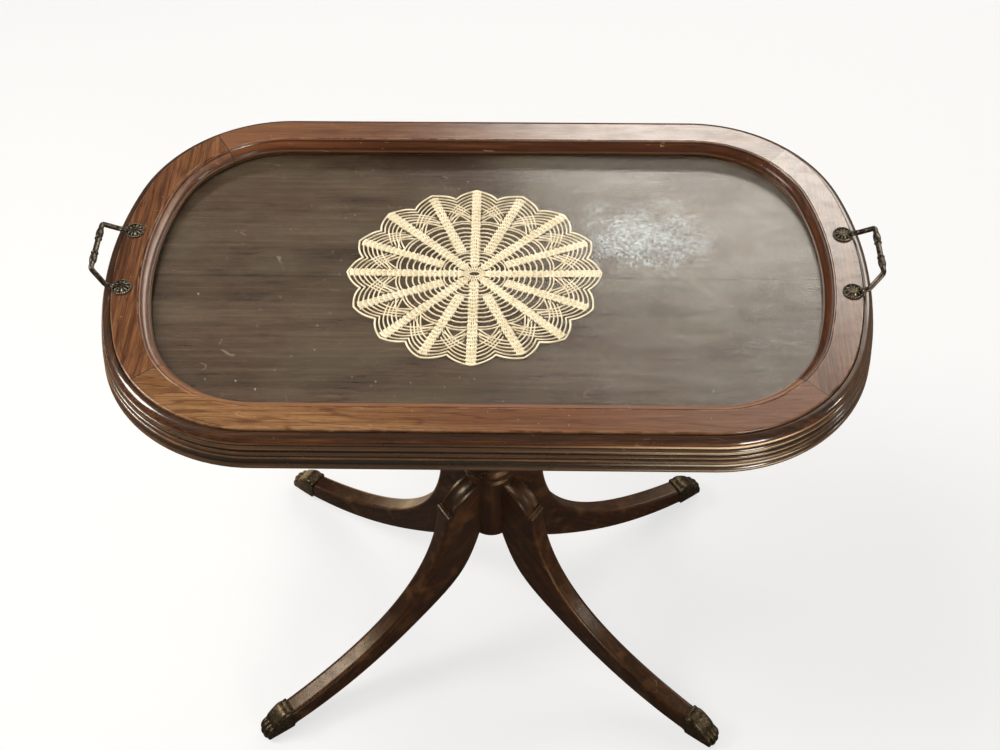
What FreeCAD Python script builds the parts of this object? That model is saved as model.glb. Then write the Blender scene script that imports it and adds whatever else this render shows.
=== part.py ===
import FreeCAD
import Part
import math
import os

# Tray top tea table: a glass tray with a moulded wooden frame and two cast handles lifts off a
# pedestal table with a turned column, four sabre legs and cast lion-paw toe caps.
# Millimetres, +Z up, origin on the floor under the middle of the column, +X along the tray.

V = FreeCAD.Vector
UP = V(0, 0, 1)
ORIGIN = V(0, 0, 0)

# tray, seen from above
TRAY_LENGTH = 762.0
TRAY_WIDTH = 431.0
CORNER_R = 151.0
END_R = 370.0                   # the two ends are bowed
RIM_TOP = 677.0                 # height of the rim's flat top above the floor
HALF_L = TRAY_LENGTH / 2
HALF_W = TRAY_WIDTH / 2
END_X = HALF_L - END_R          # the end arcs' centres lie this far from the middle
CORNER_Y = HALF_W - CORNER_R    # the corner arcs' centres
CORNER_X = END_X + math.sqrt((END_R - CORNER_R) ** 2 - CORNER_Y ** 2)
END_SWEEP = math.degrees(math.atan2(CORNER_Y, CORNER_X - END_X))

# tray frame section: distances inwards from the outer edge, heights below the rim's top
FRAME_DEPTH = 16.0
FRAME_BORDER = 39.0             # frame seen around the glass
FLAT_LAND = 27.0
REBATE = 7.5                    # lip of the frame that covers the glass
GLASS_T = 3.0
GLASS_DROP = 10.7
GLASS_GAP = 0.3

# how far each rail turns round its corners before it meets the end piece, in degrees
JOINT_TURN = {"front_left": 52.0, "back_left": 32.5, "back_right": 43.0, "front_right": 45.5}
SPLINE = V(18.0, 24.0, 3.0)     # loose tongue across each joint
SPLINE_INSET = 6.0
SPLINE_RISE = 5.5

# table top
TRAY_GAP = 1.0                  # running space between the tray and the moulded edge
PANEL_T = 18.0
BOARD_JOINT_Y = -6.0
EDGE_BOTTOM = RIM_TOP - 43.6
CLEAT = V(116.0, 356.0, 20.0)
CLEAT_CHAMFER = 11.0
CLEAT_SCREW = (34.0, 2.0, 4.2)  # length, shank radius and head radius
CLEAT_SCREWS = [(sx * 38.0, sy * 140.0) for sx in (-1, 1) for sy in (-1, 1)]

# column
BLOCK_R = 28.0                  # round block that the legs are housed in
BLOCK_SOLE = 213.5
BLOCK_FOOT = 217.0
BLOCK_TOP = 318.5
TENON_R = 15.0

# legs: a profile in the leg's own upright plane, (distance from the column's axis, height)
LEG_HEADINGS = {
    "leg_back_right": 34.3,
    "leg_back_left": 144.7,
    "leg_front_left": 214.3,
    "leg_front_right": 325.1,
}
LEG_T = 25.0
LEG_ROUND = 5.0
LEG_ROOT = 20.0                 # the leg's blank starts inside the block
KNEE_HUMP = [(24.0, 315.0), (47.0, 303.0), (62.5, 284.5)]
KNEE_VALLEY = (62.8, 281.5)
KNEE_LIP = [(68.0, 281.5), (71.0, 275.0)]
DISH_R = 22.0                   # hollow worked along the middle of the hump
DISH_DEPTH = 2.2
LEG_FRONT = [(77.0, 240.0), (100.0, 179.0), (143.0, 123.0), (218.0, 71.5), (310.0, 37.5)]
LEG_BACK = [(246.0, 29.0), (172.0, 61.5), (106.0, 103.5), (54.0, 151.0), (33.5, 193.0), (26.0, 216.0)]
LEG_END_FOOT = (310.0, 13.5)
TENON_TOP = 309.0
TENON = [(12.0, 7.0), (30.0, 4.2)]      # half of the dovetail seen from above

# paw toe caps, in the same upright plane
CAP_START = 309.5
COLLAR = V(4.0, 27.0, 29.0)     # ring of the cap round the leg's end
COLLAR_FOOT = 11.5
COLLAR_ROUND = 4.0
COLLAR_SOFT = 0.9
WRIST_WIDTH = 25.4
WRIST_ROUND = 4.5
WRIST_SOLE = [(312.0, 11.5), (318.0, 0.0), (341.0, 0.0)]
WRIST_TOP = [(343.0, 9.0), (343.0, 19.0), (339.0, 28.5), (331.0, 36.0), (321.5, 41.8), (312.0, 40.0)]
TOES = 4
TOE_PITCH = 5.8
TOE_WIDTH = 7.0
TOE_ROUND = 3.1
OUTER_TOE_BACK = 2.6            # the two outer toes end this much short of the inner ones
TOE_SOLE = [(326.0, 8.0), (330.0, 0.0), (349.5, 0.0)]
TOE_TOP = [(353.0, 6.0), (353.0, 13.5), (349.5, 20.5), (343.0, 24.5), (335.0, 28.0), (326.0, 30.0)]
TAPER = [(6.9, -1.0), (13.6, 9.0)]      # both sides of the paw draw in towards the floor
SOCKET = V(11.5, 18.0, 13.0)    # how far the leg's end goes into the cap, its width and height
SOCKET_FOOT = 17.0
SOCKET_SPARE = 0.5              # blind end of the socket beyond the leg's tenon
PIN_R = 1.2
PIN_LENGTH = 30.0
PIN_AT = (315.5, 23.5)

# handles
HANDLE_AT = {"handle_left": 2.0, "handle_right": 4.0}     # middle of each handle along the end
BOSS_X = 368.4
BOSS_Y = 40.0
BOSS_R = 10.4
BOSS_T = 3.0
PETALS = 8
GRIP_X = 397.0
GRIP_RISE = 19.0
GRIP_HALF = 28.5
ARM_R = 2.7
HANDLE_SCREW = (12.0, 1.5, 2.6) # length, shank radius and head radius

# crocheted mat on the top, under the glass
MAT_CENTRE = V(-13.0, -2.0, 0)
MAT_HALF = (131.0, 122.5)
MAT_T = 1.2
MAT_SCALLOPS = 16
MAT_VALLEY = 0.915

parts = {}


def through(start, steps, place):
    # closed face from a start point and steps: a point is a straight run, a pair is an arc
    edges = []
    here = place(start)
    for step in steps + [start]:
        if isinstance(step, list):
            middle, end = place(step[0]), place(step[1])
            edges.append(Part.Arc(here, middle, end).toShape())
        else:
            end = place(step)
            edges.append(Part.LineSegment(here, end).toShape())
        here = end
    return Part.Face(Part.Wire(edges))


def turned(start, steps):
    # solid of revolution about the upright axis, from a half section of (radius, height)
    face = through(start, steps, lambda p: V(p[0], 0, p[1]))
    return face.revolve(ORIGIN, UP, 360)


def spun(shape, angle):
    turned_copy = shape.copy()
    turned_copy.rotate(ORIGIN, UP, angle)
    return turned_copy


def oval_slab(outwards, low, high):
    # flat sheet of the tray's outline, moved outwards by a distance
    edges = []
    sweep, bend = END_SWEEP, 90 - END_SWEEP
    arcs = [
        (V(END_X, 0, low), END_R, -sweep, 2 * sweep),
        (V(CORNER_X, CORNER_Y, low), CORNER_R, sweep, bend),
        (V(-CORNER_X, CORNER_Y, low), CORNER_R, 90, bend),
        (V(-END_X, 0, low), END_R, 180 - sweep, 2 * sweep),
        (V(-CORNER_X, -CORNER_Y, low), CORNER_R, 180 + sweep, bend),
        (V(CORNER_X, -CORNER_Y, low), CORNER_R, 270, bend),
    ]
    here = None
    for centre, radius, start, turn in arcs:
        spots = []
        for share in (0, 0.5, 1):
            angle = math.radians(start + share * turn)
            reach = radius + outwards
            spots.append(centre.add(V(reach * math.cos(angle), reach * math.sin(angle), 0)))
        if here and here.distanceToPoint(spots[0]) > 0.01:
            edges.append(Part.LineSegment(here, spots[0]).toShape())
        edges.append(Part.Arc(*spots).toShape())
        here = spots[2]
    return Part.Face(Part.Wire(edges)).extrude(V(0, 0, high - low))


def length(section, end, left_turn, right_turn):
    # one length of a moulding, drawn on the -Y side: its middle run, and a turn round part of the
    # corner at each end; the long sides run straight and the ends run round their bow
    start, steps = section
    distance = HALF_L if end else HALF_W
    face = through(start, steps, lambda p: V(0, -distance - p[0], p[1]))
    bow_centre = V(0, -END_X, 0)
    pieces = []
    for side, turn in ((-1, left_turn), (1, right_turn)):
        end_face = face.copy()
        if end:
            end_face.rotate(bow_centre, UP, side * END_SWEEP)
            pivot = V(side * CORNER_Y, -CORNER_X, 0)
        else:
            end_face.translate(V(side * CORNER_X, 0, 0))
            pivot = V(side * CORNER_X, -CORNER_Y, 0)
        pieces.append(end_face.revolve(pivot, UP, side * turn))
        if side < 0 and end:
            pieces.append(end_face.revolve(bow_centre, UP, 2 * END_SWEEP))
        elif side < 0:
            pieces.append(end_face.extrude(V(2 * CORNER_X, 0, 0)))
    return pieces[0].fuse(pieces[1:]).removeSplitter()


def four_sides(section):
    # the four lengths of a moulding that runs round the tray's outline
    turn = JOINT_TURN
    bend = 90 - END_SWEEP
    return {
        "front": length(section, False, turn["front_left"], turn["front_right"]),
        "right": spun(length(section, True, bend - turn["front_right"], bend - turn["back_right"]), 90),
        "back": spun(length(section, False, turn["back_right"], turn["back_left"]), 180),
        "left": spun(length(section, True, bend - turn["back_left"], bend - turn["front_left"]), 270),
    }


def joint_places():
    # arc centre and heading of each corner joint
    yield V(-CORNER_X, -CORNER_Y, 0), -90 - JOINT_TURN["front_left"]
    yield V(CORNER_X, -CORNER_Y, 0), -90 + JOINT_TURN["front_right"]
    yield V(CORNER_X, CORNER_Y, 0), 90 - JOINT_TURN["back_right"]
    yield V(-CORNER_X, CORNER_Y, 0), 90 + JOINT_TURN["back_left"]


def screw(x, y, head_z, length, shank_r, head_r, facing):
    # slotted countersunk screw; facing is +1 with the head up and -1 with it down
    cone = head_r - shank_r
    steps = [(head_r, 0), (head_r, -0.4), (shank_r, -0.4 - cone), (shank_r, -length + 2), (0, -length)]
    body = turned((0, 0), steps)
    slot = Part.makeBox(2 * head_r + 1, 0.8, 0.9, V(-head_r - 0.5, -0.4, -0.9))
    body = body.cut(slot)
    if facing < 0:
        body.rotate(ORIGIN, V(1, 0, 0), 180)
    body.translate(V(x, y, head_z))
    return body


def screw_hole(x, y, head_z, length, shank_r, head_r, facing):
    return screw(x, y, head_z, length, shank_r, head_r, facing).fuse(
        Part.makeCylinder(head_r, 1.0, V(x, y, head_z - (1.0 if facing > 0 else 0.0))))


# ---- tray frame ----------------------------------------------------------------------------

def tray_frame():
    top, bed = RIM_TOP, RIM_TOP - GLASS_DROP
    low = RIM_TOP - FRAME_DEPTH
    cover = FRAME_BORDER - REBATE
    section = (0, low), [
        (0, top - 1.6),
        [(-0.5, top - 0.5), (-1.6, top)],
        (-FLAT_LAND, top),
        (-FLAT_LAND - 0.4, top - 1.1),
        [(-FLAT_LAND - 1.5, top - 0.3), (-FLAT_LAND - 2.6, top - 1.1)],
        (-FLAT_LAND - 2.9, top - 2.2),
        [(-FLAT_LAND - 8.0, top - 4.2), (-FLAT_LAND - 10.4, top - 8.9)],
        (-FRAME_BORDER, top - 9.0),
        (-FRAME_BORDER, bed),
        (-cover, bed),
        (-cover, low),
    ]
    sides = four_sides(section)
    tongues = []
    for centre, heading in joint_places():
        tongue = Part.makeBox(SPLINE.x, SPLINE.y, SPLINE.z)
        tongue.translate(V(CORNER_R - SPLINE_INSET - SPLINE.x, -SPLINE.y / 2, low + SPLINE_RISE))
        tongue = spun(tongue, heading)
        tongue.translate(centre)
        tongues.append(tongue)
    for name in sides:
        for tongue in tongues:
            sides[name] = sides[name].cut(tongue)
    parts["tray_rail_front"] = sides["front"]
    parts["tray_rail_back"] = sides["back"]
    parts["tray_end_left"] = sides["left"]
    parts["tray_end_right"] = sides["right"]
    parts["tray_corner_splines"] = Part.makeCompound(tongues)


def glass():
    cover = FRAME_BORDER - REBATE + GLASS_GAP
    high = RIM_TOP - GLASS_DROP
    parts["glass_pane"] = oval_slab(-cover, high - GLASS_T, high)

    # thin beads that keep the pane up in its rebate
    low = RIM_TOP - FRAME_DEPTH
    outer = FRAME_BORDER - REBATE
    section = (-outer, low + 0.3), [
        (-outer, high - GLASS_T),
        (-outer - 6.0, high - GLASS_T),
        (-outer - 6.0, low + 0.9),
        (-outer - 5.4, low + 0.3),
    ]
    for side, bead in four_sides(section).items():
        parts["glass_bead_" + side] = bead


# ---- table top -----------------------------------------------------------------------------

def moulded_edge():
    # quarter round, two small mouldings and a hollowed fascia with a rounded lower lip
    top = RIM_TOP
    inner = TRAY_GAP
    section = (inner, EDGE_BOTTOM), [
        (inner, top - 3.0),
        (inner + 0.8, top - 3.0),
        [(7.4, top - 5.6), (9.8, top - 12.0)],
        (8.9, top - 12.9),
        [(11.0, top - 14.6), (11.6, top - 17.6)],
        (10.6, top - 18.6),
        (10.8, top - 20.6),
        [(13.0, top - 22.4), (12.4, top - 24.9)],
        (11.6, top - 25.6),
        (12.4, top - 26.4),
        [(13.7, top - 27.0), (14.1, top - 28.4)],
        [(13.0, top - 32.2), (14.0, top - 36.2)],
        [(15.4, top - 39.4), (13.4, top - 43.6)],
    ]
    for side, length in four_sides(section).items():
        parts["edge_" + side] = length


def top_boards():
    high = RIM_TOP - FRAME_DEPTH
    low = high - PANEL_T
    panel = oval_slab(TRAY_GAP, low, high)
    for x, y in CLEAT_SCREWS:
        panel = panel.cut(screw_hole(x, y, low - CLEAT.z, *CLEAT_SCREW, -1))
    reach = TRAY_LENGTH
    front_half = Part.makeBox(2 * reach, reach, 2 * PANEL_T, V(-reach, BOARD_JOINT_Y - reach, low - 5))
    parts["top_board_front"] = panel.common(front_half)
    parts["top_board_back"] = panel.cut(front_half)


def cleat():
    high = RIM_TOP - FRAME_DEPTH - PANEL_T
    low = high - CLEAT.z
    block = Part.makeBox(CLEAT.x, CLEAT.y, CLEAT.z, V(-CLEAT.x / 2, -CLEAT.y / 2, low))
    lower_edges = [e for e in block.Edges if all(abs(v.Z - low) < 0.01 for v in e.Vertexes)]
    block = block.makeChamfer(CLEAT_CHAMFER, lower_edges)
    block = block.cut(Part.makeCylinder(TENON_R, CLEAT.z, V(0, 0, low)))
    screws = []
    for x, y in CLEAT_SCREWS:
        block = block.cut(screw_hole(x, y, low, *CLEAT_SCREW, -1))
        screws.append(screw(x, y, low, *CLEAT_SCREW, -1))
    parts["top_cleat"] = block
    parts["cleat_screws"] = Part.makeCompound(screws)


# ---- column --------------------------------------------------------------------------------

def column_blank():
    cleat_low = RIM_TOP - FRAME_DEPTH - PANEL_T - CLEAT.z
    block, foot = BLOCK_R, BLOCK_FOOT
    steps = [
        (26.0, BLOCK_SOLE),
        [(27.5, BLOCK_SOLE + 1.0), (block, foot)],
        (block, BLOCK_TOP),
        (30.0, 319.3),
        [(31.6, 324.5), (29.4, 331.0)],
        (27.4, 332.5),
        (27.4, 335.5),
        [(35.0, 345.5), (28.0, 355.0)],
        (24.0, 356.5),
        (24.0, 360.0),
        [(16.6, 368.5), (14.0, 381.0)],
        (17.0, 384.0),
        [(19.2, 387.0), (17.0, 390.0)],
        (15.0, 391.5),
        [(26.8, 424.0), (34.5, 462.0)],
        [(35.6, 470.0), (31.5, 476.5)],
        [(21.0, 482.5), (18.0, 494.0)],
        (20.5, 496.0),
        [(23.8, 500.5), (20.5, 505.0)],
        (17.6, 506.5),
        [(15.2, 540.0), (21.0, 573.0)],
        (24.0, 576.0),
        [(26.4, 579.0), (24.0, 582.0)],
        (22.4, 584.0),
        [(27.0, 599.0), (40.0, 609.0)],
        (43.0, 610.0),
        (43.0, cleat_low),
        (TENON_R, cleat_low),
        (TENON_R, cleat_low + CLEAT.z),
        (0, cleat_low + CLEAT.z),
    ]
    return turned((0, BLOCK_SOLE), steps)


def wedge():
    # fox wedge driven into the saw kerf of the column's tenon
    top = RIM_TOP - FRAME_DEPTH - PANEL_T
    place = lambda p: V(p[0], -TENON_R + 2, top + p[1])
    return through((-1.6, 0), [(1.6, 0), (0.5, -16), (-0.5, -16)], place).extrude(V(0, 2 * TENON_R - 4, 0))


def dovetail():
    # tongue that slides up into the column's block from below
    (inner, wide), (outer, narrow) = TENON
    place = lambda p: V(p[0], p[1], BLOCK_SOLE)
    corners = [(inner, wide), (outer, narrow), (outer, -narrow)]
    return through((inner, -wide), corners, place).extrude(V(0, 0, TENON_TOP - BLOCK_SOLE))


# ---- legs ----------------------------------------------------------------------------------

def curve(points):
    spline = Part.BSplineCurve()
    spline.interpolate([V(r, 0, z) for r, z in points])
    return spline.toShape()


def line(start, end):
    return Part.LineSegment(V(start[0], 0, start[1]), V(end[0], 0, end[1])).toShape()


def upright(outline, width):
    # solid of the given width, centred on the leg's plane
    side = Part.Face(Part.Wire(outline))
    side.translate(V(0, -width / 2, 0))
    return side.extrude(V(0, width, 0))


def sabre():
    # the curved leg itself, its front face softened along both sides
    shoulder = KNEE_LIP[1]
    head = (shoulder[0] - 2.0, KNEE_HUMP[0][1])
    inner_foot = (LEG_ROOT, LEG_BACK[-1][1])
    outline = [
        line(inner_foot, (LEG_ROOT, head[1])),
        line((LEG_ROOT, head[1]), head),
        curve([head, shoulder] + LEG_FRONT),
        line(LEG_FRONT[-1], LEG_END_FOOT),
        curve([LEG_END_FOOT] + LEG_BACK),
        line(LEG_BACK[-1], inner_foot),
    ]
    leg = upright(outline, LEG_T)
    front_edges = [e for e in leg.Edges if e.BoundBox.YLength < 0.01 and e.BoundBox.XLength > 200
                   and e.BoundBox.ZMax > shoulder[1]]
    leg = leg.makeFillet(LEG_ROUND, front_edges)
    return leg.cut(Part.makeBox(100, 60, 60, V(0, -30, shoulder[1])))


def arc_through(points):
    return Part.Arc(*[V(r, 0, z) for r, z in points]).toShape()


def knee():
    # top of the leg: a hump that is dished along its middle, then a valley and a rounded lip
    low = KNEE_LIP[1][1]
    start, end = KNEE_HUMP[0], KNEE_HUMP[2]
    crest = arc_through(KNEE_HUMP)
    root_low, root_high = (LEG_ROOT, low), (LEG_ROOT, start[1])
    foot = (end[0], low)
    hump = upright([line(root_high, start), crest, line(end, foot), line(foot, root_low),
                    line(root_low, root_high)], LEG_T)
    reach = crest.Curve.Radius + DISH_R - DISH_DEPTH
    hump = hump.cut(Part.makeTorus(reach, DISH_R, crest.Curve.Center, V(0, 1, 0)))
    inside = KNEE_HUMP[1][0]
    roll = arc_through([KNEE_VALLEY] + KNEE_LIP)
    lip = upright([line((inside, KNEE_VALLEY[1]), KNEE_VALLEY), roll,
                   line(KNEE_LIP[1], (inside, low)), line((inside, low), (inside, KNEE_VALLEY[1]))], LEG_T)
    return hump.fuse(lip)


def leg_and_tongue(column):
    leg = sabre().fuse(knee())
    # reduced end that seats in the toe cap
    tenon = Part.makeBox(SOCKET.x, SOCKET.y, SOCKET.z, V(LEG_END_FOOT[0], -SOCKET.y / 2, SOCKET_FOOT))
    leg = leg.fuse(tenon)
    tongue = dovetail().common(column.fuse(leg))
    return leg.cut(column).fuse(tongue).removeSplitter(), tongue


def lobe(sole, top, width, roundness):
    # body that arches over and down to the floor, rounded along both upper edges
    outline = [line(sole[0], sole[1]), line(sole[1], sole[2]), curve([sole[2]] + top), line(top[-1], sole[0])]
    body = upright(outline, width)
    ridge = [e for e in body.Edges if e.BoundBox.YLength < 0.01 and e.BoundBox.ZMax > top[-1][1] - 1
             and e.BoundBox.XLength > 20]
    return body.makeFillet(roundness, ridge)


def paw_cap():
    # collar, wrist and four toes, with a socket for the leg's end
    collar = Part.makeBox(COLLAR.x, COLLAR.y, COLLAR.z, V(CAP_START, -COLLAR.y / 2, COLLAR_FOOT))
    collar = collar.makeFillet(COLLAR_ROUND, [e for e in collar.Edges if e.BoundBox.XLength > 1])
    rims = [e for e in collar.Edges if e.BoundBox.XLength < 0.01]
    cap = collar.makeFillet(COLLAR_SOFT, rims)
    paw = lobe(WRIST_SOLE, WRIST_TOP, WRIST_WIDTH, WRIST_ROUND)
    for index in range(TOES):
        place = index - (TOES - 1) / 2
        toe = lobe(TOE_SOLE, TOE_TOP, TOE_WIDTH, TOE_ROUND)
        toe.translate(V(-OUTER_TOE_BACK if index in (0, TOES - 1) else 0, place * TOE_PITCH, 0))
        paw = paw.fuse(toe)
    (low_y, low_z), (high_y, high_z) = TAPER
    for side in (-1, 1):
        place = lambda p: V(CAP_START, side * p[0], p[1])
        corners = [(high_y, high_z), (2 * high_y, high_z), (2 * high_y, low_z)]
        paw = paw.cut(through((low_y, low_z), corners, place).extrude(V(60, 0, 0)))
    cap = cap.fuse(paw)
    return cap.cut(Part.makeBox(SOCKET.x + SOCKET_SPARE, SOCKET.y, SOCKET.z,
                                V(LEG_END_FOOT[0], -SOCKET.y / 2, SOCKET_FOOT)))


def legs_and_feet():
    column = column_blank()
    leg, tongue = leg_and_tongue(column)
    cap = paw_cap().cut(leg)
    pin = Part.makeCylinder(PIN_R, PIN_LENGTH, V(PIN_AT[0], -PIN_LENGTH / 2, PIN_AT[1]), V(0, 1, 0))
    pin = pin.common(cap.fuse(leg))
    leg = leg.cut(pin)
    cap = cap.cut(pin)
    pins = []
    for name, heading in LEG_HEADINGS.items():
        column = column.cut(spun(tongue, heading))
        parts[name] = spun(leg, heading)
        parts[name.replace("leg", "paw_cap")] = spun(cap, heading)
        pins.append(spun(pin, heading))
    parts["paw_cap_pins"] = Part.makeCompound(pins)
    parts["column"] = column.cut(wedge())
    parts["column_wedge"] = wedge()


# ---- handles -------------------------------------------------------------------------------

def smooth_path(points, radii):
    # straight runs joined by tangent arcs, one radius for each inner point
    edges = []
    here = points[0]
    for before, corner, after, radius in zip(points, points[1:], points[2:], radii):
        back = before.sub(corner).normalize()
        ahead = after.sub(corner).normalize()
        half = math.acos(back.dot(ahead)) / 2
        inset = radius / math.tan(half)
        start = corner.add(V(back).multiply(inset))
        end = corner.add(V(ahead).multiply(inset))
        to_middle = V(back).add(ahead).normalize()
        middle = corner.add(to_middle.multiply(radius / math.sin(half) - radius))
        edges.append(Part.LineSegment(here, start).toShape())
        edges.append(Part.Arc(start, middle, end).toShape())
        here = end
    edges.append(Part.LineSegment(here, points[-1]).toShape())
    return Part.Wire(edges)


def boss(y):
    # rosette: a low dome with a raised rim, cut by grooves into petals, with a seat for its screw
    steps = [(BOSS_R, 0), (BOSS_R, 0.8), [(BOSS_R - 1.0, 1.9), (BOSS_R - 2.0, 1.0)],
             [(5.4, 2.8), (2.6, BOSS_T)], (0, BOSS_T)]
    rosette = turned((0, 0), steps)
    for index in range(PETALS):
        groove = Part.makeBox(6.0, 1.0, 1.0, V(2.8, -0.5, -0.5))
        groove.rotate(ORIGIN, V(1, 0, 0), 45)
        groove.rotate(ORIGIN, V(0, 1, 0), 14)
        groove.translate(V(0, 0, BOSS_T + 0.5))
        rosette = rosette.cut(spun(groove, (index + 0.5) * 360 / PETALS))
    rosette.translate(V(BOSS_X, y, RIM_TOP))
    return rosette


def grip():
    # straight bar with a ring and a leaf-shaped swelling towards each end
    half = GRIP_HALF - 4
    steps = [
        (2.6, -half), [(3.9, -18.0), (2.9, -11.5)], [(3.9, -10.2), (2.9, -8.9)],
        (2.9, 8.9), [(3.9, 10.2), (2.9, 11.5)], [(3.9, 18.0), (2.6, half)], (0, half),
    ]
    bar = turned((0, -half), steps)
    bar.rotate(ORIGIN, V(1, 0, 0), -90)
    bar.translate(V(GRIP_X, 0, RIM_TOP + GRIP_RISE))
    return bar


def handle():
    rise = RIM_TOP + GRIP_RISE
    root = V(BOSS_X + 7.0, BOSS_Y, RIM_TOP + 2.1)
    knee = V(BOSS_X + 15.0, BOSS_Y, RIM_TOP + 3.6)
    corner = V(GRIP_X, GRIP_HALF + 3.0, rise)
    mirror = lambda p: V(p.x, -p.y, p.z)
    points = [root, knee, corner, mirror(corner), mirror(knee), mirror(root)]
    path = smooth_path(points, [9.0, 4.5, 4.5, 9.0])
    section = Part.Wire(Part.makeCircle(ARM_R, root, knee.sub(root)))
    arms = path.makePipeShell([section], True, False)
    body = arms.fuse([grip(), boss(BOSS_Y), boss(-BOSS_Y)])
    trim = Part.makeBox(60, 120, 20, V(BOSS_X - 20, -60, RIM_TOP - 20))
    return body.cut(trim)


def handles():
    screws = []
    shape = handle()
    head_r = HANDLE_SCREW[2]
    for x_sign, side, node in ((-1, 180, "handle_left"), (1, 0, "handle_right")):
        middle = HANDLE_AT[node]
        casting = spun(shape, side)
        casting.translate(V(0, middle, 0))
        end_piece = parts["tray_end_" + node.split("_")[1]]
        for y in (middle - BOSS_Y, middle + BOSS_Y):
            place = (x_sign * BOSS_X, y, RIM_TOP + BOSS_T - 0.2, *HANDLE_SCREW, 1)
            hole = screw_hole(*place).fuse(Part.makeCylinder(head_r, 2.0, V(place[0], y, place[2])))
            casting = casting.cut(hole)
            end_piece = end_piece.cut(screw_hole(*place))
            screws.append(screw(*place))
        parts[node] = casting
        parts["tray_end_" + node.split("_")[1]] = end_piece
    parts["handle_screws"] = Part.makeCompound(screws)


# ---- crocheted mat -------------------------------------------------------------------------

def mat():
    def rim(index, share):
        angle = math.radians(index * 360 / MAT_SCALLOPS)
        return V(share * MAT_HALF[0] * math.cos(angle), share * MAT_HALF[1] * math.sin(angle), 0)
    edges = []
    for index in range(MAT_SCALLOPS):
        ends = [rim(index - 0.5, MAT_VALLEY), rim(index, 1.0), rim(index + 0.5, MAT_VALLEY)]
        edges.append(Part.Arc(*ends).toShape())
    disc = Part.Face(Part.Wire(edges)).extrude(V(0, 0, MAT_T))
    disc.translate(V(MAT_CENTRE.x, MAT_CENTRE.y, RIM_TOP - FRAME_DEPTH))
    parts["doily"] = disc


tray_frame()
glass()
moulded_edge()
top_boards()
cleat()
legs_and_feet()
handles()
mat()

os.makedirs("parts", exist_ok=True)
for node, shape in parts.items():
    shape.exportStep("parts/" + node + ".step")
    print(node, "solids", len(shape.Solids), "valid", shape.isValid(), "cm3", round(shape.Volume / 1000, 2))
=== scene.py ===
import bpy
import math
import random
from mathutils import Matrix, Vector


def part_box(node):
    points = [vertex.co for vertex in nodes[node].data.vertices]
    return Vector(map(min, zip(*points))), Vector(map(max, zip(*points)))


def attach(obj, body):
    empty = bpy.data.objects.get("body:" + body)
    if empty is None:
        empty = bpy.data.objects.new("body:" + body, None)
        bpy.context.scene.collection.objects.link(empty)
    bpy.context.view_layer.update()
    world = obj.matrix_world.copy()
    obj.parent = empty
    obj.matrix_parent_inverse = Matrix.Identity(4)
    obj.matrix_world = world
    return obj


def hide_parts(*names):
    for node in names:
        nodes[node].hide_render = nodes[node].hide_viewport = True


# Tray top tea table. Metres, +Z up, origin on the floor under the column, +X along the tray.

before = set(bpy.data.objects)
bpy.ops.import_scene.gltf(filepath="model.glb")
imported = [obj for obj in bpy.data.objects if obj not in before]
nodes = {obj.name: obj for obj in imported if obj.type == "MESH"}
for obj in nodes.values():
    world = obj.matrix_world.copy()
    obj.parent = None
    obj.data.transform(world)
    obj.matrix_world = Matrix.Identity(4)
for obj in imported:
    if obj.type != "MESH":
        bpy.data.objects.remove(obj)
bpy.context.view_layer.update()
mm = 0.001
print("frame loaded,", len(nodes), "nodes")


def clearSelection():
    if bpy.context.object and bpy.context.object.mode != "OBJECT":
        bpy.ops.object.mode_set(mode="OBJECT")
    bpy.ops.object.select_all(action="DESELECT")


def shade(code):
    # a colour as it is picked on screen, such as "8a5a3c", made linear
    values = [int(code[i:i + 2], 16) / 255 for i in (0, 2, 4)]
    return tuple(v / 12.92 if v <= 0.04045 else ((v + 0.055) / 1.055) ** 2.4 for v in values)


class Line:
    # one socket of a material, so that shader maths reads as an expression
    def __init__(self, paint, socket):
        self.paint = paint
        self.socket = socket

    def __add__(self, other):
        return self.paint.maths("ADD", self, other)

    def __sub__(self, other):
        return self.paint.maths("SUBTRACT", self, other)

    def __mul__(self, other):
        return self.paint.maths("MULTIPLY", self, other)

    def __rsub__(self, other):
        return self.paint.maths("SUBTRACT", other, self)

    __radd__ = __add__
    __rmul__ = __mul__


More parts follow.
